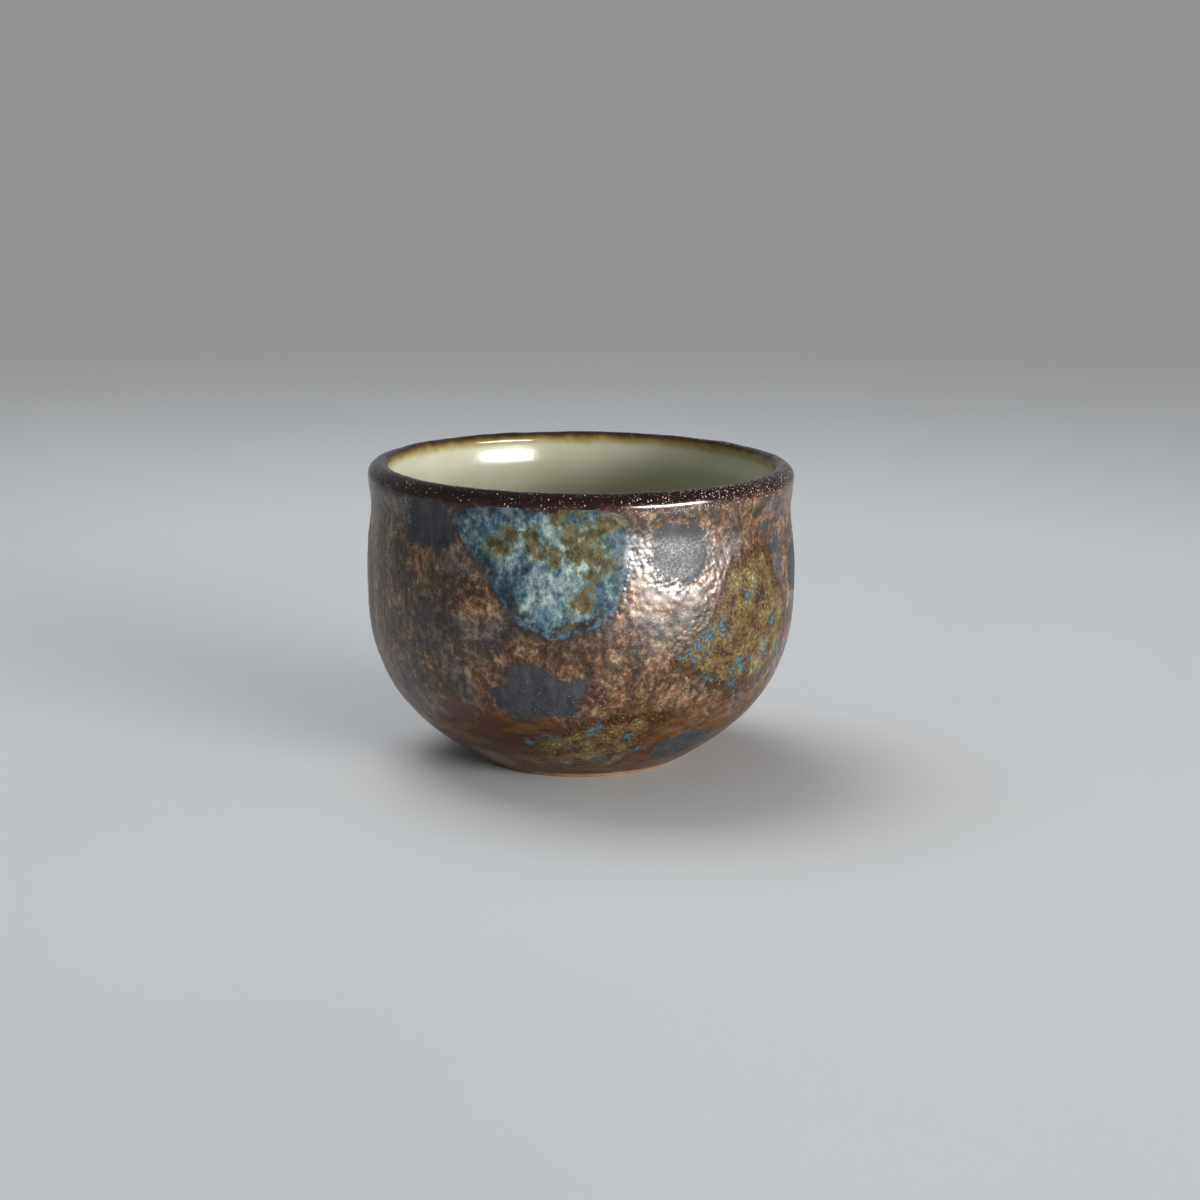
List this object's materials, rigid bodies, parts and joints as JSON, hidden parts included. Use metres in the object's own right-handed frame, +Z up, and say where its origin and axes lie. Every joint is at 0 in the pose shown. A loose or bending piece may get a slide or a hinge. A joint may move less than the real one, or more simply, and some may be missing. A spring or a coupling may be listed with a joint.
{
  "type": "cafe au lait bowl",
  "caption": "Handleless stoneware cafe au lait bowl with a round belly, rolled dark lip, turned foot, pale lining and mottled bronze, slate, olive and blue-white glazes.",
  "frame": {"origin": "centre of the foot, on the plane that the bowl stands on", "axes": "+Z up along the bowl's axis, -Y to the front face that carries the large blue-white patch, +X to that face's right"},
  "size_m": [0.121, 0.121, 0.0842],
  "materials": {
    "clay": "matte",
    "lining_glaze": "gloss",
    "rim_glaze": "gloss",
    "bronze_glaze": "satin",
    "cloud_glaze": "gloss",
    "slate_glaze": "satin",
    "olive_glaze": "gloss"
  },
  "bodies": {
    "root": {"clay_body": "clay", "lining_glaze": "lining_glaze", "rim_glaze": "rim_glaze", "outer_glaze": "bronze_glaze", "cloud_patch_front": "cloud_glaze", "cloud_patch_back": "cloud_glaze", "slate_patch_low_front": "slate_glaze", "slate_patch_upper_right": "slate_glaze", "slate_patch_upper_left": "slate_glaze", "slate_patch_far_right": "slate_glaze", "slate_patch_low_right": "slate_glaze", "slate_patch_back_upper": "slate_glaze", "slate_patch_back_low": "slate_glaze", "olive_patch_right": "olive_glaze", "olive_patch_left": "olive_glaze", "olive_patch_foot_front": "olive_glaze", "olive_patch_foot_back": "olive_glaze"}
  },
  "joints": []
}
